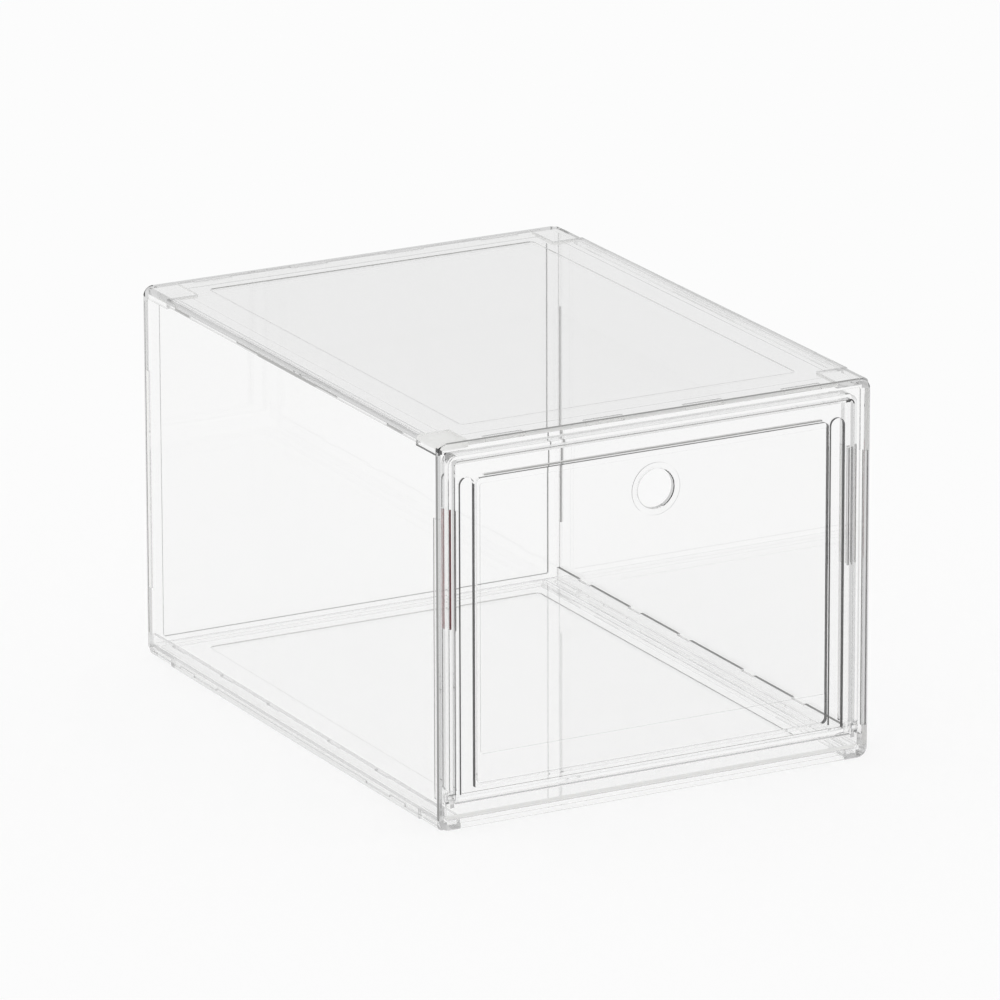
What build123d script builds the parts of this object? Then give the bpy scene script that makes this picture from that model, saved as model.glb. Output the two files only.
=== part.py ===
# Clear display box of snapped-together moulded panels, with a drop-front door held shut by magnets.
# Millimetres, +Z up, the door faces -Y, and the origin is on the floor under the middle of the box.
import os

from build123d import *

os.makedirs("parts", exist_ok=True)

# Overall box
width = 270.0
depth = 358.0
height = 220.0
edge_radius = 6.0
corner_min = 1.2
long_edge_round = 1.4
wall = 2.5
fit_gap = 0.1
overrun = 1.0

# Front frame
side_border = 10.0
top_border = 10.5
bottom_border = 14.5
opening_radius = 3.0
frame_depth = 12.0
sleeve_wall = 2.5
sleeve_depth = 1.6
lip_width = 3.0
lip_thick = 5.5
lip_rise = 6.0
front_round = 0.4

# Thick corner blocks of the front frame and the back panel, which the long edges run between
corner_wall = 4.0
corner_leg = 20.0
corner_round = 3.0
front_corner_reach = 25.0
back_corner_reach = 30.0

# Back panel
back_sleeve_wall = 7.4

# Top panel
top_recess_side = 30.0
top_recess_front = 29.5
top_recess_back = 23.0
recess_depth = 0.6
recess_radius = 3.0
under_step_margin = 14.3
under_step_depth = 0.4
top_rib_inset = 4.4
top_rib_wide = 2.2
top_rib_high = 2.5

# Bottom panel
floor_rise = 7.3
floor_recess_side = 28.0
floor_recess_front = 33.0
floor_recess_back = 25.6
foot_width = 14.0
web_wide = 2.0
web_rise = 13.0
web_gap_long = 14.0
web_gap_deep = 1.0
web_gap_shares = (0.198, 0.358, 0.565, 0.727, 0.897)

# Tabs that snap the long edges: a clip near each end and a long tab between them
clip_long = 18.0
clip_inset = 50.0
clip_rise = 3.9
top_tab_clear = 59.0
top_tab_rise = 3.5
middle_tab_long = 70.0
middle_tab_rise = 4.3
bottom_tab_clear = 28.0
bottom_tab_rise = 3.7

# Tabs that snap the upright edges and the top sheet's ends
tab_reach = 3.0
end_tab_long = 24.0
end_tab_margin = 42.0
end_tab_count = 4
front_post_low = 18.0
front_post_clear = 42.0
back_post_low = 41.0
back_post_clear = 49.0
bead_wide = 1.8
bead_high = 2.4

# Door
door_gap = 0.5
door_inset = 0.3
door_wall = 3.0
stop_gap = 0.3
channel_side = 14.7
channel_top = 21.0
channel_bottom = 18.2
rib_side = 23.5
rib_top = 21.4
rib_bottom = 21.3
rib_wide = 1.4
top_rib_thick = 1.1
slit_wide = 0.8
window_side = 25.9
window_top = 24.9
window_bottom = 40.7
window_depth = 0.4
window_radius = 1.5
finger_hole_radius = 11.25
finger_hole_drop = 44.0
finger_ring_radius = 15.0
finger_edge_round = 0.5

# Hinge pins moulded on the door
pin_radius = 1.8
pin_length = 4.5
pin_clearance = 0.08
pin_end_gap = 0.4
boss_wall = 1.3

# Magnets in the frame and the steel strips that they draw
magnet_wide = 1.8
magnet_deep = 2.0
magnet_long = 68.0
magnet_inset = 10.2
magnet_drop = 39.2
strip_wide = 0.8
strip_deep = 2.2
strip_inset = 1.25
pocket_gap = 0.1

# Places worked out from the sizes above
front = -depth / 2
back = depth / 2
half_width = width / 2
mid_height = height / 2
opening_width = width - 2 * side_border
opening_height = height - top_border - bottom_border
opening_mid = (height - top_border + bottom_border) / 2
opening_top = height - top_border
panel_start = wall + fit_gap
sleeve_inset = wall + fit_gap
front_clear = wall + sleeve_depth + fit_gap
back_clear = front_clear
clip_middle = depth / 2 - clip_inset
top_tab_half = clip_middle - clip_long / 2 - top_tab_clear
bottom_tab_half = clip_middle - clip_long / 2 - bottom_tab_clear
door_half = opening_width / 2 - door_gap
door_top = opening_top - door_gap
door_back = frame_depth - lip_thick - stop_gap
door_thick = door_back - door_inset
bottom_round = door_thick / 2
hinge_rise = bottom_border + door_gap + bottom_round
hinge_in = door_inset + bottom_round
finger_rise = height - finger_hole_drop
strip_middle = door_half - strip_inset
magnet_middle = height - magnet_drop - magnet_long / 2


def from_front(distance):
    """The upright plane that lies this far behind the front; an extrusion from it comes forward."""
    return Plane(origin=(0, front + distance, 0), x_dir=(1, 0, 0), z_dir=(0, -1, 0))


def outline(inset, mode=Mode.ADD):
    """The rounded outline of the box seen from the front, drawn in by inset."""
    radius = max(edge_radius - inset, corner_min)
    with Locations((0, mid_height)):
        RectangleRounded(width - 2 * inset, height - 2 * inset, radius, mode=mode)


def opening(grow, mode=Mode.ADD):
    """The outline of the doorway, grown all round: round at the top corners, square at the bottom."""
    with Locations((0, opening_mid)):
        RectangleRounded(
            opening_width + 2 * grow, opening_height + 2 * grow, opening_radius + grow, mode=mode
        )
    with Locations((0, (opening_mid + bottom_border - grow) / 2)):
        Rectangle(opening_width + 2 * grow, opening_mid - bottom_border + grow, mode=mode)


def block(low, high, mode=Mode.ADD):
    """A box between two corners."""
    size = [b - a for a, b in zip(low, high)]
    middle = [(a + b) / 2 for a, b in zip(low, high)]
    with Locations(tuple(middle)):
        Box(*size, mode=mode)


def recess_outline(side, front_margin, back_margin):
    """The outline of a shallow recess, with its margins at the sides, the front and the back."""
    with Locations((0, (front_margin - back_margin) / 2)):
        RectangleRounded(width - 2 * side, depth - front_margin - back_margin, recess_radius)


def corner_outline():
    """The four corner blocks seen from the front: thick angles, rounder outside than the long edges."""
    with Locations((0, mid_height)):
        RectangleRounded(width, height, corner_round)
        Rectangle(width - 2 * corner_wall, height - 2 * corner_wall, mode=Mode.SUBTRACT)
        Rectangle(width, height - 2 * edge_radius, mode=Mode.SUBTRACT)
    # Long legs along the top, short ones along the floor
    for leg, middle in ((corner_leg, 3 * height / 4), (edge_radius, height / 4)):
        with Locations((0, middle)):
            Rectangle(width - 2 * leg, mid_height, mode=Mode.SUBTRACT)


def corner_cuts(tall):
    """Room for the corner blocks, this tall, cut off every panel that runs between them."""
    ends = (
        (front, front + front_corner_reach + fit_gap),
        (back - back_corner_reach - fit_gap, back),
    )
    for low, leg in ((0, edge_radius), (height - tall, corner_leg)):
        room = leg + fit_gap
        for start, end in ends:
            for left in (-half_width, half_width - room):
                block((left, start, low), (left + room, end, low + tall), Mode.SUBTRACT)


def post_tabs(start, end, low, clear, grow, mode):
    """Long tongues that lock the upright edges, from low to clear of the top, on both sides."""
    for side in (-1, 1):
        edges = sorted((side * half_width, side * (half_width - wall)))
        block((edges[0], start, low - grow), (edges[1], end, height - clear + grow), mode)


def front_post_tabs(start, end, grow, mode):
    """The front frame's tongues."""
    post_tabs(start, end, front_post_low, front_post_clear, grow, mode)


def back_post_tabs(start, end, grow, mode):
    """The back panel's tongues."""
    post_tabs(start, end, back_post_low, back_post_clear, grow, mode)


def end_tabs(start, end, grow, mode):
    """Tabs that lock the top sheet's front and back edges."""
    pitch = (width - 2 * end_tab_margin) / (end_tab_count - 1)
    for k in range(end_tab_count):
        x = end_tab_margin - half_width + k * pitch
        block(
            (x - end_tab_long / 2 - grow, start, height - wall),
            (x + end_tab_long / 2 + grow, end, height),
            mode,
        )


def long_tab(middle, half_long, low, high, grow, mode):
    """One tab in the outer wall of both long sides, between two heights."""
    for side in (-1, 1):
        edges = sorted((side * half_width, side * (half_width - wall)))
        block(
            (edges[0], middle - half_long - grow, low - grow),
            (edges[1], middle + half_long + grow, high + grow),
            mode,
        )


def top_tabs(grow, mode):
    """The tabs that hang from the top sheet."""
    for end in (-1, 1):
        long_tab(end * clip_middle, clip_long / 2, height - clip_rise, height - wall, grow, mode)
    long_tab(0, top_tab_half, height - top_tab_rise, height - wall, grow, mode)
    long_tab(0, middle_tab_long / 2, height - middle_tab_rise, height - wall, grow, mode)


def bottom_tabs(grow, mode):
    """The tabs that stand on the bottom panel's feet."""
    for end in (-1, 1):
        long_tab(end * clip_middle, clip_long / 2, wall, clip_rise, grow, mode)
    long_tab(0, bottom_tab_half, wall, bottom_tab_rise, grow, mode)


# Front frame
with BuildPart() as front_frame:
    with BuildSketch(from_front(wall)):
        outline(0)
        opening(0, Mode.SUBTRACT)
    extrude(amount=wall)
    with BuildSketch(from_front(wall + sleeve_depth)):
        outline(sleeve_inset)
        outline(sleeve_inset + sleeve_wall, Mode.SUBTRACT)
    extrude(amount=sleeve_depth)
    # The doorway's wall, at the sides and the top
    with BuildSketch(from_front(frame_depth)):
        opening(wall)
        opening(0, Mode.SUBTRACT)
        with Locations((0, bottom_border)):
            Rectangle(opening_width, 2 * wall, mode=Mode.SUBTRACT)
    extrude(amount=frame_depth - wall)
    with BuildSketch(from_front(front_corner_reach)):
        corner_outline()
    extrude(amount=front_corner_reach - wall)
    # The stop lip behind the door, at the sides and the top, open at the bottom for the hinge
    with BuildSketch(from_front(frame_depth)):
        opening(0)
        with Locations((0, opening_mid - lip_width)):
            Rectangle(opening_width - 2 * lip_width, opening_height, mode=Mode.SUBTRACT)
        with Locations((0, bottom_border + lip_rise / 2)):
            Rectangle(opening_width, lip_rise, mode=Mode.SUBTRACT)
    extrude(amount=lip_thick)
    front_post_tabs(front + wall, front + wall + tab_reach, 0, Mode.ADD)
    end_tabs(front + wall, front + wall + tab_reach, 0, Mode.ADD)
    for side in (-1, 1):
        # Hinge boss between the doorway's wall and the sleeve, with its blind bore
        boss_start = opening_width / 2 + wall
        boss_end = half_width - sleeve_inset - sleeve_wall
        with BuildSketch(Plane.YZ.offset(side * boss_start)):
            with Locations((front + hinge_in, hinge_rise)):
                Circle(pin_radius + pin_clearance + boss_wall)
        extrude(amount=side * (boss_end - boss_start))
        bore_end = door_half + pin_length + pin_end_gap
        with BuildSketch(Plane.YZ.offset(side * opening_width / 2)):
            with Locations((front + hinge_in, hinge_rise)):
                Circle(pin_radius + pin_clearance)
        extrude(amount=side * (bore_end - opening_width / 2), mode=Mode.SUBTRACT)
        # Magnet pocket, open to the back
        pocket_half = magnet_wide / 2 + pocket_gap
        pocket_x = side * (half_width - magnet_inset)
        block(
            (pocket_x - pocket_half, front + frame_depth - magnet_deep - 2 * pocket_gap,
             magnet_middle - magnet_long / 2 - pocket_gap),
            (pocket_x + pocket_half, front + frame_depth + overrun,
             magnet_middle + magnet_long / 2 + pocket_gap),
            Mode.SUBTRACT,
        )
    face_edges = front_frame.edges().filter_by_position(Axis.Y, front, front)
    fillet(face_edges, front_round)
front_frame.part.label = "front_frame"
export_step(front_frame.part, "parts/front_frame.step")

# Back panel
with BuildPart() as back_panel:
    with BuildSketch(from_front(depth)):
        outline(0)
    extrude(amount=wall)
    with BuildSketch(from_front(depth - wall)):
        outline(sleeve_inset)
        outline(sleeve_inset + back_sleeve_wall, Mode.SUBTRACT)
    extrude(amount=sleeve_depth)
    with BuildSketch(from_front(depth - wall)):
        corner_outline()
    extrude(amount=back_corner_reach - wall)
    back_post_tabs(back - wall - tab_reach, back - wall, 0, Mode.ADD)
    end_tabs(back - wall - tab_reach, back - wall, 0, Mode.ADD)
    rear_edges = back_panel.edges().filter_by_position(Axis.Y, back, back)
    fillet(rear_edges, front_round)
back_panel.part.label = "back_panel"
export_step(back_panel.part, "parts/back_panel.step")

# Top panel
with BuildPart() as top_panel:
    block(
        (-half_width, front + panel_start, height - wall),
        (half_width, back - panel_start, height),
    )
    long_edges = top_panel.edges().filter_by(Axis.Y).group_by(Axis.Z)[-1]
    fillet(long_edges, long_edge_round)
    top_tabs(0, Mode.ADD)
    corner_cuts(edge_radius + fit_gap)
    tab_end = wall + tab_reach + fit_gap
    end_tabs(front, front + tab_end, fit_gap, Mode.SUBTRACT)
    end_tabs(back - tab_end, back, fit_gap, Mode.SUBTRACT)
    # Ribs under the sheet that stand inside the side panels
    for side in (-1, 1):
        outer = half_width - top_rib_inset
        edges = sorted((side * outer, side * (outer - top_rib_wide)))
        block(
            (edges[0], front + front_corner_reach + fit_gap, height - wall - top_rib_high),
            (edges[1], back - back_corner_reach - fit_gap, height - wall),
        )
    with BuildSketch(Plane.XY.offset(height)):
        recess_outline(top_recess_side, top_recess_front, top_recess_back)
    extrude(amount=-recess_depth, mode=Mode.SUBTRACT)
    with BuildSketch(Plane.XY.offset(height - wall)):
        RectangleRounded(
            width - 2 * under_step_margin, depth - 2 * under_step_margin, recess_radius
        )
    extrude(amount=under_step_depth, mode=Mode.SUBTRACT)
top_panel.part.label = "top_panel"
export_step(top_panel.part, "parts/top_panel.step")

# Bottom panel
with BuildPart() as bottom_panel:
    for side in (-1, 1):
        # The foot, with a web at each edge that carries the floor
        edges = sorted((side * half_width, side * (half_width - foot_width)))
        block((edges[0], front + panel_start, 0), (edges[1], back - panel_start, wall))
        outer = half_width - sleeve_inset
        for start, top in ((outer, web_rise), (half_width - foot_width + web_wide, floor_rise)):
            edges = sorted((side * start, side * (start - web_wide)))
            block((edges[0], front + front_clear, 0), (edges[1], back - back_clear, top))
        # Gaps along the upper edge of the outer web
        edges = sorted((side * (outer + overrun), side * (outer - web_wide)))
        for share in web_gap_shares:
            middle = front + share * depth
            block(
                (edges[0], middle - web_gap_long / 2, web_rise - web_gap_deep),
                (edges[1], middle + web_gap_long / 2, web_rise + overrun),
                Mode.SUBTRACT,
            )
    block(
        (sleeve_inset - half_width, front + front_clear, floor_rise - wall),
        (half_width - sleeve_inset, back - back_clear, floor_rise),
    )
    bottom_tabs(0, Mode.ADD)
    corner_cuts(edge_radius + fit_gap)
    foot_edges = (
        bottom_panel.edges()
        .filter_by(Axis.Y)
        .filter_by_position(Axis.Z, 0, 0)
        .filter_by(lambda e: abs(e.center().X) > half_width - fit_gap)
    )
    fillet(foot_edges, long_edge_round)
    with BuildSketch(Plane.XY.offset(floor_rise)):
        recess_outline(floor_recess_side, floor_recess_front, floor_recess_back)
    extrude(amount=-recess_depth, mode=Mode.SUBTRACT)
bottom_panel.part.label = "bottom_panel"
export_step(bottom_panel.part, "parts/bottom_panel.step")

# Side panels
for side, label in ((-1, "left_panel"), (1, "right_panel")):
    with BuildPart() as side_panel:
        faces = sorted((side * half_width, side * (half_width - wall)))
        block(
            (faces[0], front + panel_start, wall + fit_gap),
            (faces[1], back - panel_start, height - wall - fit_gap),
        )
        # A bead inside the top edge, between the sheet and its rib
        inner = half_width - wall
        edges = sorted((side * inner, side * (inner - bead_wide)))
        bead_top = height - wall - fit_gap
        block(
            (edges[0], front + front_corner_reach + fit_gap, bead_top - bead_high),
            (edges[1], back - back_corner_reach - fit_gap, bead_top),
        )
        top_tabs(fit_gap, Mode.SUBTRACT)
        bottom_tabs(fit_gap, Mode.SUBTRACT)
        corner_cuts(edge_radius + fit_gap)
        notch = tab_reach + fit_gap
        front_post_tabs(front, front + wall + notch, fit_gap, Mode.SUBTRACT)
        back_post_tabs(back - wall - notch, back, fit_gap, Mode.SUBTRACT)
    side_panel.part.label = label
    export_step(side_panel.part, f"parts/{label}.step")

# Door
with BuildPart() as door:
    block(
        (-door_half, front + door_inset, hinge_rise),
        (door_half, front + door_back, door_top),
    )
    corner_edges = door.edges().filter_by(Axis.Y).group_by(Axis.Z)[-1]
    fillet(corner_edges, opening_radius - door_gap)
    # The round bottom edge and the two pins on its axis
    with BuildSketch(Plane.YZ.offset(-door_half)):
        with Locations((front + hinge_in, hinge_rise)):
            Circle(bottom_round)
    extrude(amount=2 * door_half)
    with BuildSketch(Plane.YZ.offset(-door_half - pin_length)):
        with Locations((front + hinge_in, hinge_rise)):
            Circle(pin_radius)
    extrude(amount=2 * (door_half + pin_length))
    # The back is sunk between a thick border and a thin rib, and again inside the rib
    channel_half = half_width - channel_side
    rib_half = half_width - rib_side
    channel_wide = channel_half - rib_half
    field_half = rib_half - rib_wide
    arch_rise = height - channel_top - channel_wide / 2
    field_low = rib_bottom + rib_wide
    field_high = height - rib_top - top_rib_thick
    slit_low = height - rib_top
    with BuildSketch(from_front(door_back)):
        for side in (-1, 1):
            with Locations((side * (rib_half + channel_half) / 2, (channel_bottom + arch_rise) / 2)):
                Rectangle(channel_wide, arch_rise - channel_bottom)
            with Locations((side * (rib_half + channel_half) / 2, arch_rise)):
                Circle(channel_wide / 2)
        with Locations((0, (channel_bottom + rib_bottom) / 2)):
            Rectangle(2 * channel_half, rib_bottom - channel_bottom)
        with Locations((0, slit_low + slit_wide / 2)):
            Rectangle(2 * field_half - channel_wide, slit_wide)
        with Locations((0, (field_low + field_high) / 2)):
            RectangleRounded(2 * field_half, field_high - field_low, opening_radius)
    extrude(amount=door_thick - door_wall, mode=Mode.SUBTRACT)
    # The shallow window on the front, and the ring round the finger hole
    window_top_rise = height - window_top
    with BuildSketch(from_front(door_inset)):
        with Locations((0, (window_bottom + window_top_rise) / 2)):
            RectangleRounded(
                width - 2 * window_side, window_top_rise - window_bottom, window_radius
            )
        with Locations((0, finger_rise)):
            Circle(finger_ring_radius, mode=Mode.SUBTRACT)
    extrude(amount=-window_depth, mode=Mode.SUBTRACT)
    with BuildSketch(from_front(door_inset + door_wall)):
        with Locations((0, finger_rise)):
            Circle(finger_hole_radius)
    extrude(amount=door_wall, mode=Mode.SUBTRACT)
    hole_edges = (
        door.edges()
        .filter_by(GeomType.CIRCLE)
        .filter_by(lambda e: abs(e.radius - finger_hole_radius) < fit_gap)
        .filter_by_position(Axis.Y, front + door_inset, front + door_inset)
    )
    fillet(hole_edges, finger_edge_round)
    # Slots for the steel strips, open to the back
    for side in (-1, 1):
        slot_half = strip_wide / 2 + pocket_gap
        slot_x = side * strip_middle
        block(
            (slot_x - slot_half, front + door_back - strip_deep - 2 * pocket_gap,
             magnet_middle - magnet_long / 2 - pocket_gap),
            (slot_x + slot_half, front + door_back + overrun,
             magnet_middle + magnet_long / 2 + pocket_gap),
            Mode.SUBTRACT,
        )
door.part.label = "door"
export_step(door.part, "parts/door.step")

# Magnets and strips
for side, word in ((-1, "left"), (1, "right")):
    with BuildPart() as magnet:
        magnet_x = side * (half_width - magnet_inset)
        magnet_back = front + frame_depth - pocket_gap
        block(
            (magnet_x - magnet_wide / 2, magnet_back - magnet_deep,
             magnet_middle - magnet_long / 2),
            (magnet_x + magnet_wide / 2, magnet_back, magnet_middle + magnet_long / 2),
        )
    magnet.part.label = f"{word}_magnet"
    export_step(magnet.part, f"parts/{word}_magnet.step")

    with BuildPart() as strip:
        strip_x = side * strip_middle
        strip_back = front + door_back - pocket_gap
        block(
            (strip_x - strip_wide / 2, strip_back - strip_deep,
             magnet_middle - magnet_long / 2),
            (strip_x + strip_wide / 2, strip_back, magnet_middle + magnet_long / 2),
        )
    strip.part.label = f"{word}_door_strip"
    export_step(strip.part, f"parts/{word}_door_strip.step")
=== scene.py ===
import math

import bpy
from mathutils import Matrix, Vector


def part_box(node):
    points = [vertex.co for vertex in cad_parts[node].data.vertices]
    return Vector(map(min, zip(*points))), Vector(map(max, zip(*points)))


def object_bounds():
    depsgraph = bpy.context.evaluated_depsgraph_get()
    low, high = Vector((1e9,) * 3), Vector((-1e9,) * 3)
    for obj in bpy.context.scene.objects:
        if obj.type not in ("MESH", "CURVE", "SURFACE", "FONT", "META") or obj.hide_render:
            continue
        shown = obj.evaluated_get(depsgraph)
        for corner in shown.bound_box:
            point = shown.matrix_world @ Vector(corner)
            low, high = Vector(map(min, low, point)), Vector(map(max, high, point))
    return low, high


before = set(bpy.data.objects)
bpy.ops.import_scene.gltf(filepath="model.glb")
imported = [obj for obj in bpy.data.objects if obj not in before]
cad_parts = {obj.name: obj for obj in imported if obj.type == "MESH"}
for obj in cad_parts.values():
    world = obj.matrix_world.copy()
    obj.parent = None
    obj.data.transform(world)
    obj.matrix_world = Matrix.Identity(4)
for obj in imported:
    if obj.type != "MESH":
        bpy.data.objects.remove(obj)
cad_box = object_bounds()

# Camera, as worked out from the photograph's lines
CAMERA_AT = Vector((-2.4647, -4.5818, 1.7323))
CAMERA_YAW = math.radians(28.2704)
CAMERA_PITCH = math.radians(17.2083)
CAMERA_ROLL = math.radians(-0.1468)
CAMERA_LENS = 348.05
CAMERA_SENSOR = 36.0
CAMERA_REACH = 200.0

# White ground: its colour, its size, and how much of it glows by itself. Mirrored in the
# plastic it is darker, most of all before the box.
GROUND_WHITE = 0.98
GROUND_SIZE = 60.0
GROUND_DROP = 0.0002
GROUND_GLOW = 0.7
MIRROR_FRONT = 0.70
MIRROR_REAR = 0.88
MIRROR_FADE = (-0.32, -0.12)
MIRRORED_ONCE = 0.5

# Surroundings: the share of light that each further mirroring keeps, the sky from the
# horizon up, and the brighter sky for rays that have come through a panel and back
BOUNCE_KEEP = 0.8
SKY_STOPS = (
    (0.00, 0.90),
    (0.15, 0.82),
    (0.27, 0.68),
    (0.50, 0.50),
    (1.00, 0.30),
)
INNER_SKY = 0.95
INNER_CROSSINGS = 3.5

# Clear plastic: after so many mirrorings, or crossings of all kinds, a ray goes straight on
PLASTIC_TINT = (0.998, 0.998, 0.997, 1.0)
PLASTIC_THROUGH = (0.96, 0.96, 0.96, 1.0)
PLASTIC_IOR = 1.5
PLASTIC_MIRRORINGS = 1.5
PLASTIC_DEPTH = 8.5

# Magnets, and the steel strips that they draw
MAGNET_RED = (0.17, 0.012, 0.016, 1.0)
MAGNET_ROUGHNESS = 0.45
STRIP_STEEL = (0.30, 0.295, 0.29, 1.0)
STRIP_ROUGHNESS = 0.35

# Narrow walls of the mouldings look dark or white where light is caught behind them, so they
# carry opaque painted shade (dark to pale) and painted light (light grey to white) in place
# of clear plastic. The name of each painted shade or light, and how bright it is.
DARK = ("painted_shade_dark", 0.03)
GREY = ("painted_shade_grey", 0.17)
MIDDLE = ("painted_shade_middle", 0.28)
PALE = ("painted_shade_pale", 0.45)
LIGHT = ("painted_light_grey", 0.62)
WHITE = ("painted_light_white", 0.9)
PAINTED_WALL_ROUGHNESS = 0.4
PAINTED_WALL_BLUE = 0.985

# Ways that a face can look, how nearly it has to look that way, and how little a wall
# that stands across the door's face may look forward
LEFT, RIGHT = Vector((-1, 0, 0)), Vector((1, 0, 0))
FORWARD, BACKWARD = Vector((0, -1, 0)), Vector((0, 1, 0))
DOWN, UP = Vector((0, 0, -1)), Vector((0, 0, 1))
SAME_WAY = 0.9
EDGE_ON = 0.3

# The box's own sides
(LEFT_SIDE, FRONT, FLOOR), (RIGHT_SIDE, REAR, TOP) = cad_box

# Sizes of the mouldings, and distances in from the box's sides
SHEET = 0.0025
SEAT = 0.0026
CORNER = 0.006
PLATE_TRIM = 0.010
BLOCK_WALL = 0.004
BLOCK_LEG = 0.020
BLOCK_REACH = 0.030
TONGUE = 0.003
SLEEVE_IN = 0.0051
SLEEVE_ROUND = 0.0012
SLEEVE_END = 0.0045
DOORWAY_SIDE = 0.010
DOORWAY_TOP = 0.0105
DOORWAY_ROUND = 0.003
DOORWAY_END = 0.012
REAR_SLEEVE_IN = 0.010
TAB_DROP = 0.0043
FLOOR_END = 0.0042
FLOOR_RISE = 0.0073
WEB_RISE = 0.013
RECESS_DEEP = 0.0006
TOP_RECESS_SIDE = 0.030
TOP_RECESS_FRONT = 0.0295
TOP_RECESS_REAR = 0.023
FLOOR_RECESS_SIDE = 0.028
FLOOR_RECESS_REAR = 0.0256

# The door's channels: their walls, in from its sides, the height from which they get painted
# dark shade, and the height of their arches, of which the left one is clear where it looks
# less than this far to the right
CHANNEL_OUTER = 0.0087
CHANNEL_INNER = 0.0175
CHANNEL_LOW = 0.03
CHANNEL_ARCH = 0.194
ARCH_CLEAR = 0.4

# The walls of the door's slit and of its sunk field, down from the box's top
SLIT_TOP = 0.0206
SLIT_LOW = 0.0214
FIELD_TOP = 0.0225

# The finger hole: how far it is down from the top, the reach of its rounding and its ring,
# how far back the rounding goes, and how far its right, with painted dark shade, and its left,
# with painted light, look
FINGER_DROP = 0.044
FINGER_EDGE = 0.0122
FINGER_RING = 0.015
FINGER_BACK = 0.0009
FINGER_DARK = -0.3
FINGER_LIGHT = 0.1

# How far the middle of a face may lie from the place where it is looked for
SLACK = 0.001
HAIR = 0.0004
ANYWHERE = (-math.inf, math.inf)


def new_material(name):
    """An empty node material and its output."""
    material = bpy.data.materials.new(name)
    material.use_nodes = True
    tree = material.node_tree
    tree.nodes.clear()
    out = tree.nodes.new("ShaderNodeOutputMaterial")
    return material, tree, out


def feed(tree, value, socket):
    """Gives a socket a number, or links another socket to it."""
    if isinstance(value, (int, float)):
        socket.default_value = value
    else:
        tree.links.new(value, socket)


def math_node(tree, operation, first, second):
    """One sum in the tree, of sockets or numbers."""
    node = tree.nodes.new("ShaderNodeMath")
    node.operation = operation
    feed(tree, first, node.inputs[0])
    feed(tree, second, node.inputs[1])
    return node.outputs[0]


def blend(tree, share, first, second):
    """A value between two sockets or numbers."""
    node = tree.nodes.new("ShaderNodeMix")
    feed(tree, share, node.inputs["Factor"])
    feed(tree, first, node.inputs["A"])
    feed(tree, second, node.inputs["B"])
    return node.outputs["Result"]


def mix_shaders(tree, share, first, second):
    """A shader between two others."""
    node = tree.nodes.new("ShaderNodeMixShader")
    feed(tree, share, node.inputs[0])
    feed(tree, first.outputs[0], node.inputs[1])
    feed(tree, second.outputs[0], node.inputs[2])
    return node


def place_axis(tree, coordinate, axis):
    """One axis of a texture coordinate."""
    where = tree.nodes.new("ShaderNodeTexCoord")
    split = tree.nodes.new("ShaderNodeSeparateXYZ")
    feed(tree, where.outputs[coordinate], split.inputs[0])
    return split.outputs[axis]


def bounce_light(tree, path):
    """The light a ray brings: all of it at first, then less with each further mirroring."""
    further = math_node(tree, "SUBTRACT", path.outputs["Glossy Depth"], 1.0)
    return math_node(tree, "POWER", BOUNCE_KEEP, math_node(tree, "MAXIMUM", further, 0.0))


def clear_plastic():
    """Polished clear plastic that lets light through to what is behind it."""
    material, tree, out = new_material("clear_plastic")
    shader = tree.nodes.new("ShaderNodeBsdfPrincipled")
    shader.inputs["Base Color"].default_value = PLASTIC_TINT
    shader.inputs["Roughness"].default_value = 0.0
    shader.inputs["IOR"].default_value = PLASTIC_IOR
    shader.inputs["Transmission Weight"].default_value = 1.0
    through = tree.nodes.new("ShaderNodeBsdfTransparent")
    through.inputs["Color"].default_value = PLASTIC_THROUGH
    path = tree.nodes.new("ShaderNodeLightPath").outputs
    light_ray = math_node(tree, "MAXIMUM", path["Is Shadow Ray"], path["Is Diffuse Ray"])
    mirrored = math_node(tree, "GREATER_THAN", path["Glossy Depth"], PLASTIC_MIRRORINGS)
    long_way = math_node(tree, "GREATER_THAN", path["Ray Depth"], PLASTIC_DEPTH)
    straight = math_node(tree, "MAXIMUM", mirrored, long_way)
    either = math_node(tree, "MAXIMUM", light_ray, straight)
    mix = mix_shaders(tree, either, shader, through)
    feed(tree, mix.outputs[0], out.inputs["Surface"])
    return material


def plain(name, colour, roughness, metallic=0.0):
    """An opaque finish of one colour."""
    material, tree, out = new_material(name)
    shader = tree.nodes.new("ShaderNodeBsdfPrincipled")
    shader.inputs["Base Color"].default_value = colour
    shader.inputs["Roughness"].default_value = roughness
    shader.inputs["Metallic"].default_value = metallic
    feed(tree, shader.outputs[0], out.inputs["Surface"])
    return material


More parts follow.
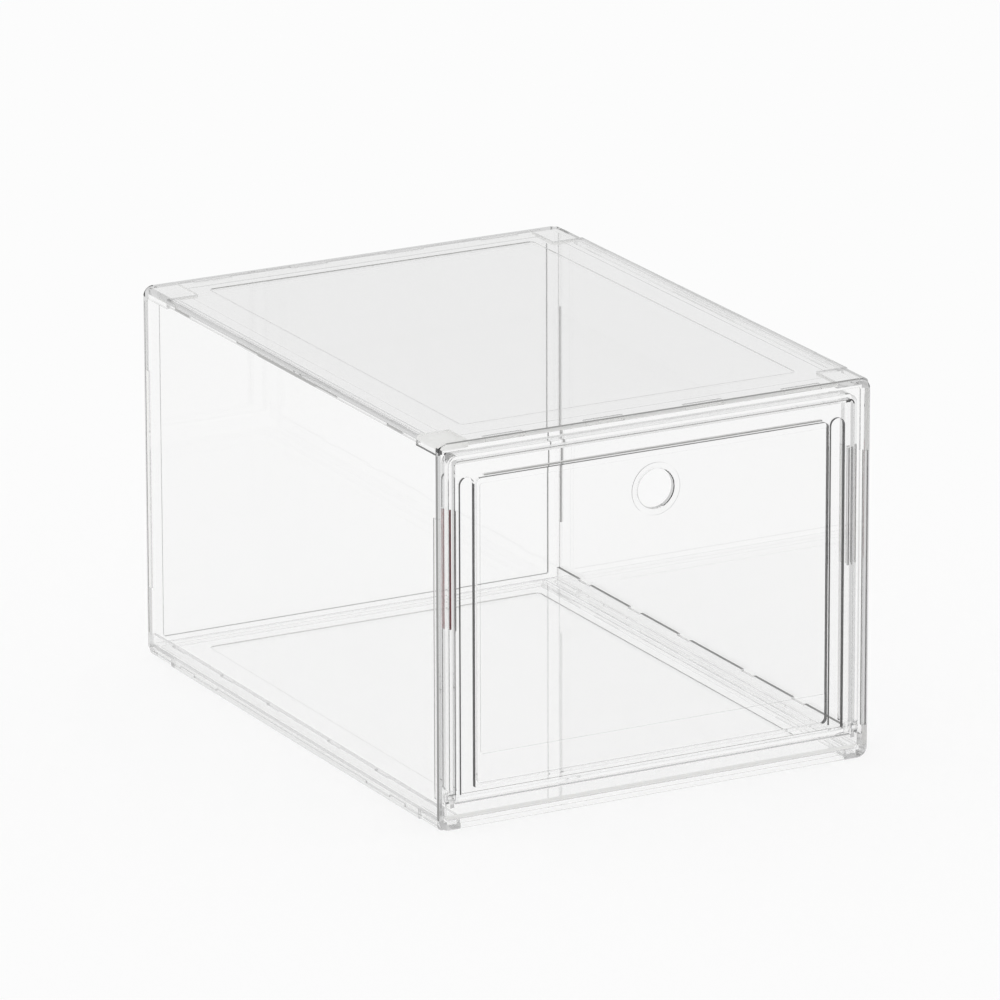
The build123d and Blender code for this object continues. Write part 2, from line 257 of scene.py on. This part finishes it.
def ground():
    """A white floor that keeps the shadow and shows white in the picture and through the box."""
    material, tree, out = new_material("ground")
    white = (GROUND_WHITE, GROUND_WHITE, GROUND_WHITE, 1.0)
    diffuse = tree.nodes.new("ShaderNodeBsdfDiffuse")
    diffuse.inputs["Color"].default_value = white
    glow = tree.nodes.new("ShaderNodeEmission")
    glow.inputs["Color"].default_value = white
    path = tree.nodes.new("ShaderNodeLightPath")
    direct = math_node(
        tree, "MAXIMUM", path.outputs["Is Camera Ray"], path.outputs["Is Glossy Ray"]
    )
    seen = math_node(tree, "MAXIMUM", direct, path.outputs["Is Transmission Ray"])
    share = math_node(tree, "MULTIPLY", seen, GROUND_GLOW)
    fade = tree.nodes.new("ShaderNodeMapRange")
    feed(tree, place_axis(tree, "Object", "Y"), fade.inputs["Value"])
    feed(tree, MIRROR_FADE[0], fade.inputs["From Min"])
    feed(tree, MIRROR_FADE[1], fade.inputs["From Max"])
    feed(tree, MIRROR_FRONT, fade.inputs["To Min"])
    feed(tree, MIRROR_REAR, fade.inputs["To Max"])
    mirrored = math_node(tree, "GREATER_THAN", path.outputs["Glossy Depth"], MIRRORED_ONCE)
    level = blend(tree, mirrored, 1.0, fade.outputs["Result"])
    strength = math_node(tree, "MULTIPLY", level, bounce_light(tree, path))
    feed(tree, strength, glow.inputs["Strength"])
    mix = mix_shaders(tree, share, diffuse, glow)
    feed(tree, mix.outputs[0], out.inputs["Surface"])
    bpy.ops.mesh.primitive_plane_add(size=GROUND_SIZE, location=(0, 0, -GROUND_DROP))
    floor = bpy.context.object
    floor.name = "ground"
    floor.data.materials.append(material)


def sky_ramp(tree):
    """The sky for reflections, which darkens overhead."""
    ramp = tree.nodes.new("ShaderNodeValToRGB")
    stops = ramp.color_ramp.elements
    while len(stops) > 1:
        stops.remove(stops[-1])
    stops[0].position = SKY_STOPS[0][0]
    for place, _ in SKY_STOPS[1:]:
        stops.new(place)
    for stop, (_, level) in zip(stops, SKY_STOPS):
        stop.color = (level, level, level, 1.0)
    feed(tree, place_axis(tree, "Generated", "Z"), ramp.inputs[0])
    return ramp.outputs[0]


def blend_colours(tree, share):
    """A colour between two others."""
    node = tree.nodes.new("ShaderNodeMix")
    node.data_type = "RGBA"
    feed(tree, share, node.inputs["Factor"])
    return node


def surroundings():
    """White for the camera and the light, and the sky for what the plastic mirrors and bends."""
    world = bpy.data.worlds.new("surroundings")
    bpy.context.scene.world = world
    world.use_nodes = True
    tree = world.node_tree
    tree.nodes.clear()
    path = tree.nodes.new("ShaderNodeLightPath")
    inner = math_node(
        tree, "GREATER_THAN", path.outputs["Transmission Depth"], INNER_CROSSINGS
    )
    sky = blend_colours(tree, inner)
    feed(tree, sky_ramp(tree), sky.inputs["A"])
    sky.inputs["B"].default_value = (INNER_SKY, INNER_SKY, INNER_SKY, 1.0)
    bent = math_node(
        tree, "MAXIMUM", path.outputs["Is Glossy Ray"], path.outputs["Is Transmission Ray"]
    )
    colour = blend_colours(tree, bent)
    colour.inputs["A"].default_value = (GROUND_WHITE, GROUND_WHITE, GROUND_WHITE, 1.0)
    feed(tree, sky.outputs["Result"], colour.inputs["B"])
    light = tree.nodes.new("ShaderNodeBackground")
    feed(tree, colour.outputs["Result"], light.inputs["Color"])
    feed(tree, bounce_light(tree, path), light.inputs["Strength"])
    out = tree.nodes.new("ShaderNodeOutputWorld")
    feed(tree, light.outputs[0], out.inputs["Surface"])


def camera():
    """The camera at the photograph's viewing angle."""
    data = bpy.data.cameras.new("camera")
    data.lens = CAMERA_LENS
    data.sensor_width = CAMERA_SENSOR
    data.clip_end = CAMERA_REACH
    view = bpy.data.objects.new("camera", data)
    bpy.context.scene.collection.objects.link(view)
    level = math.cos(CAMERA_PITCH)
    ahead = Vector(
        (
            math.sin(CAMERA_YAW) * level,
            math.cos(CAMERA_YAW) * level,
            -math.sin(CAMERA_PITCH),
        )
    )
    turn = ahead.to_track_quat("-Z", "Y").to_matrix().to_4x4()
    roll = Matrix.Rotation(CAMERA_ROLL, 4, "Z")
    view.matrix_world = Matrix.Translation(CAMERA_AT) @ turn @ roll
    bpy.context.scene.camera = view


def dress(names, material):
    """Gives whole pieces one material."""
    for name in names:
        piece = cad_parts[name]
        piece.data.materials.clear()
        piece.data.materials.append(material)


painted_walls_made = {}


def painted_wall_material(shade):
    """The opaque painted shade or painted light for walls of this level, made once."""
    name, level = shade
    if name not in painted_walls_made:
        colour = (level, level, level * PAINTED_WALL_BLUE, 1.0)
        painted_walls_made[name] = plain(name, colour, PAINTED_WALL_ROUGHNESS)
    return painted_walls_made[name]


def shade_chosen(piece, shade, chosen):
    """Gives the faces of a piece that chosen(middle, normal) picks the painted shade or light of
    this level.
    """
    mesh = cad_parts[piece].data
    mesh.materials.append(painted_wall_material(shade))
    slot = len(mesh.materials) - 1
    for face in mesh.polygons:
        if chosen(face.center, face.normal):
            face.material_index = slot


def shade(piece, painted_level, way, across=ANYWHERE, along=ANYWHERE, height=ANYWHERE):
    """Paints shade or light on the faces that look this way, with their middle within these
    stretches.
    """
    stretches = (across, along, height)

    def chosen(middle, normal):
        inside = all(low < place < high for place, (low, high) in zip(middle, stretches))
        return inside and (way is None or normal.dot(way) > SAME_WAY)

    shade_chosen(piece, painted_level, chosen)


def near(place, slack=SLACK):
    """The short stretch round one place."""
    return place - slack, place + slack


def shade_front_frame():
    """Painted shade and light on the front plate's edges, its right tongue, its round corners
    and its corner blocks.
    """
    name = "front_frame"
    plate = (FRONT - HAIR, FRONT + SHEET)
    plate_edge = (FRONT + HAIR / 2, FRONT + SHEET - HAIR / 4)
    upright = (FLOOR + PLATE_TRIM, TOP - PLATE_TRIM)
    level = (LEFT_SIDE + PLATE_TRIM, RIGHT_SIDE - PLATE_TRIM)
    shade(name, MIDDLE, LEFT, near(LEFT_SIDE), plate, upright)
    shade(name, MIDDLE, UP, level, plate, near(TOP))
    right_end = (RIGHT_SIDE - CORNER + HAIR, RIGHT_SIDE + SLACK)
    top_end = (TOP - CORNER + HAIR, TOP + SLACK)
    shade(name, DARK, None, right_end, plate_edge, top_end)

    tongue = (FRONT + SHEET, FRONT + SHEET + TONGUE + HAIR)
    shade(name, MIDDLE, RIGHT, near(RIGHT_SIDE), tongue, upright)

    # Painted dark shade on the round left corner of the sleeve and the round right corner of the
    # doorway
    sleeve_near, sleeve_far = SLEEVE_IN - HAIR / 2, SLEEVE_IN + SLEEVE_ROUND + HAIR / 2
    across = (LEFT_SIDE + sleeve_near, LEFT_SIDE + sleeve_far)
    height = (TOP - sleeve_far, TOP - sleeve_near)
    shade(name, DARK, None, across, (FRONT + SHEET - HAIR / 4, FRONT + SLEEVE_END), height)
    doorway_side, doorway_top = RIGHT_SIDE - DOORWAY_SIDE, TOP - DOORWAY_TOP
    across = (doorway_side - DOORWAY_ROUND - HAIR / 2, doorway_side + HAIR / 4)
    height = (doorway_top - DOORWAY_ROUND - HAIR / 2, doorway_top + HAIR / 4)
    shade(name, DARK, None, across, (FRONT + HAIR / 4, FRONT + DOORWAY_END), height)

    # Painted dark shade on the left block's underside at its side, and painted light on its
    # leg's underside and the legs' inner ends
    behind = (FRONT + SHEET - SLACK, FRONT + BLOCK_REACH)
    side = (LEFT_SIDE - HAIR, LEFT_SIDE + BLOCK_WALL + HAIR)
    leg = (LEFT_SIDE + BLOCK_WALL, LEFT_SIDE + BLOCK_LEG)
    shade(name, DARK, DOWN, side, behind, near(TOP - CORNER, HAIR))
    shade(name, WHITE, DOWN, leg, behind, near(TOP - BLOCK_WALL, HAIR))
    block = (TOP - BLOCK_WALL - HAIR, TOP + HAIR)
    shade(name, WHITE, RIGHT, near(LEFT_SIDE + BLOCK_LEG), height=block)
    shade(name, WHITE, LEFT, near(RIGHT_SIDE - BLOCK_LEG), height=block)


def shade_back_panel():
    """Painted shade and light on the back panel's corner blocks, its left top round, its sleeve
    and its tongues.
    """
    name = "back_panel"
    block = (TOP - BLOCK_WALL - HAIR, TOP + HAIR)
    shade(name, WHITE, RIGHT, near(LEFT_SIDE + BLOCK_LEG), height=block)
    shade(name, WHITE, LEFT, near(RIGHT_SIDE - BLOCK_LEG), height=block)
    shade(name, WHITE, FORWARD, along=near(REAR - BLOCK_REACH), height=block)
    left_end = (LEFT_SIDE - SLACK, LEFT_SIDE + CORNER - HAIR)
    top_end = (TOP - CORNER + HAIR, TOP + SLACK)
    plate_edge = (REAR - SHEET + HAIR / 4, REAR - HAIR / 2)
    shade(name, DARK, None, left_end, plate_edge, top_end)

    shade(name, MIDDLE, LEFT, near(RIGHT_SIDE - REAR_SLEEVE_IN))
    tongue = (REAR - SHEET - TONGUE - HAIR, REAR - SHEET)
    upright = (FLOOR + REAR_SLEEVE_IN, TOP - BLOCK_REACH)
    shade(name, MIDDLE, RIGHT, near(RIGHT_SIDE), tongue, upright)
    shade(name, WHITE, LEFT, near(LEFT_SIDE), tongue, upright)
    left_tongue = (LEFT_SIDE - SLACK, LEFT_SIDE + TONGUE)
    shade(name, WHITE, FORWARD, left_tongue, near(REAR - SHEET - TONGUE, HAIR), upright)
    shade(name, PALE, RIGHT, near(LEFT_SIDE + REAR_SLEEVE_IN))
    shade(name, MIDDLE, UP, height=near(FLOOR + REAR_SLEEVE_IN))


def shade_top_panel():
    """Painted shade and light on the top sheet's left tabs, its front end and the steps of its
    recess.
    """
    name = "top_panel"
    tabs = (TOP - TAB_DROP - HAIR, TOP - SHEET)
    shade(name, PALE, LEFT, near(LEFT_SIDE), height=tabs)
    shade(name, WHITE, FORWARD, along=(FRONT, FRONT + SHEET + TONGUE + SLACK))
    step = near(TOP - RECESS_DEEP / 2, HAIR)
    shade(name, GREY, RIGHT, near(LEFT_SIDE + TOP_RECESS_SIDE), height=step)
    shade(name, PALE, FORWARD, along=near(REAR - TOP_RECESS_REAR), height=step)
    shade(name, PALE, BACKWARD, along=near(FRONT + TOP_RECESS_FRONT), height=step)


def shade_bottom_panel():
    """Painted shade and light on the floor's front end, the upper edge of the right web and the
    steps of the recess.
    """
    name = "bottom_panel"
    sheet = (FLOOR_RISE - SHEET - 2 * HAIR, FLOOR_RISE + HAIR)
    shade(name, WHITE, FORWARD, along=near(FRONT + FLOOR_END, 2 * HAIR), height=sheet)
    right_web = (RIGHT_SIDE - CORNER, RIGHT_SIDE)
    shade(name, GREY, UP, right_web, height=near(WEB_RISE, HAIR))
    step = near(FLOOR_RISE - RECESS_DEEP / 2, HAIR)
    shade(name, PALE, RIGHT, near(LEFT_SIDE + FLOOR_RECESS_SIDE), height=step)
    shade(name, PALE, LEFT, near(RIGHT_SIDE - FLOOR_RECESS_SIDE), height=step)
    shade(name, LIGHT, FORWARD, along=near(REAR - FLOOR_RECESS_REAR), height=step)


def shade_right_panel():
    """Painted shade on the right panel's ends, above, below and beside the tongues."""
    name = "right_panel"
    upright = (FLOOR + BLOCK_WALL, TOP - SHEET)
    tongue = near(REAR - SEAT - TONGUE, HAIR)
    shade(name, LIGHT, FORWARD, along=near(FRONT + SEAT, HAIR), height=upright)
    shade(name, MIDDLE, BACKWARD, along=near(REAR - SEAT, HAIR), height=upright)
    shade(name, PALE, BACKWARD, along=tongue)


def channel_wall(middle, normal):
    """The walls of the door's two upright channels, with the round top of the right one, where
    dark shade is painted.
    """
    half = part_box("door")[1][0]
    inside = half - CHANNEL_INNER - HAIR < abs(middle.x) < half - CHANNEL_OUTER + HAIR
    clear_top = middle.x < 0 and middle.z > CHANNEL_ARCH and normal.x < ARCH_CLEAR
    return inside and abs(normal.y) < EDGE_ON and middle.z > CHANNEL_LOW and not clear_top


def from_finger_hole(middle):
    """How far a place is from the finger hole's axis."""
    return math.hypot(middle.x, middle.z - (TOP - FINGER_DROP))


def hole_edge(middle):
    """Whether a face is on the rounded front edge of the finger hole."""
    return from_finger_hole(middle) < FINGER_EDGE and middle.y < FRONT + FINGER_BACK


def hole_right(middle, normal):
    """The right of the finger hole's edge, where dark shade is painted."""
    return hole_edge(middle) and normal.x < FINGER_DARK


def hole_left(middle, normal):
    """The left of the finger hole's edge, where light is painted."""
    return hole_edge(middle) and normal.x > FINGER_LIGHT


def ring_step(middle, normal):
    """The low step of the ring round the finger hole, where grey shade is painted."""
    return abs(from_finger_hole(middle) - FINGER_RING) < HAIR and abs(normal.y) < EDGE_ON


def shade_door():
    """Painted shade and light on the door's channels, its finger hole, its top, its slit and the
    top of its field.
    """
    name = "door"
    shade_chosen(name, DARK, channel_wall)
    shade_chosen(name, DARK, hole_right)
    shade_chosen(name, LIGHT, hole_left)
    shade_chosen(name, GREY, ring_step)
    shade(name, PALE, UP, height=near(TOP - DOORWAY_TOP))
    shade(name, WHITE, DOWN, height=near(TOP - SLIT_TOP, HAIR))
    shade(name, LIGHT, UP, height=near(TOP - SLIT_LOW, HAIR))
    shade(name, GREY, DOWN, height=near(TOP - FIELD_TOP, HAIR))


def shade_right_magnet():
    """The right magnet's faces that show through the door's edge get painted light, pale to
    white, so it hardly shows there.
    """
    shade("right_magnet", WHITE, LEFT)
    shade("right_magnet", LIGHT, FORWARD)


CASE = ("front_frame", "back_panel", "top_panel", "bottom_panel", "left_panel", "right_panel")
dress((*CASE, "door"), clear_plastic())
shade_front_frame()
shade_back_panel()
shade_top_panel()
shade_bottom_panel()
shade_right_panel()
shade_door()
magnet_red = plain("magnet_red", MAGNET_RED, MAGNET_ROUGHNESS)
strip_steel = plain("strip_steel", STRIP_STEEL, STRIP_ROUGHNESS, 1.0)
dress(("left_magnet", "right_magnet"), magnet_red)
dress(("left_door_strip", "right_door_strip"), strip_steel)
shade_right_magnet()

ground()
surroundings()
camera()
bpy.context.scene.view_settings.view_transform = "Standard"
